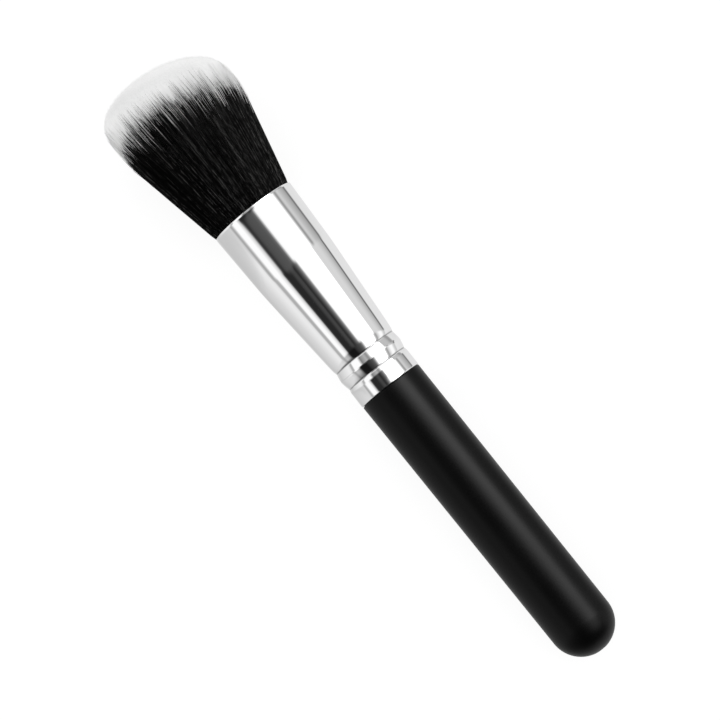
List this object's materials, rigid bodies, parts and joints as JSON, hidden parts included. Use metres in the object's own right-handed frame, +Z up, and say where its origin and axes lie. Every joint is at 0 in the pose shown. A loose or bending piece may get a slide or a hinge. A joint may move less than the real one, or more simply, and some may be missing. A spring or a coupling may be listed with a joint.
{
  "type": "makeup brush",
  "caption": "Domed duo-fibre face brush: round-ended black handle, crimped chrome ferrule and flared black hair with white tips.",
  "frame": {"origin": "on the table, under the middle of the box round the lying brush", "axes": "+X from the butt of the handle to the hair, +Z up from the table, +Y to the side where the crown is a little longer. The brush's own axis climbs 2.73 degrees from +X, because the butt and the wider hair both touch the table"},
  "size_m": [0.185, 0.0352, 0.0331],
  "materials": {
    "handle_lacquer": "satin black lacquer on turned wood",
    "ferrule_chrome": "mirror-bright plating",
    "set_glue": "set resin, amber",
    "binding_thread": "undyed twisted thread",
    "black_fibre": "soft black hair with a faint sheen",
    "white_fibre": "black fibre that turns to a soft white tip"
  },
  "bodies": {
    "root": {"handle": "handle_lacquer", "ferrule": "ferrule_chrome", "tenon_glue_bead": "set_glue", "hair_glue_plug": "set_glue", "binding_thread": "binding_thread", "black_hair": "black_fibre", "white_tip_fibres": "white_fibre"}
  },
  "joints": []
}
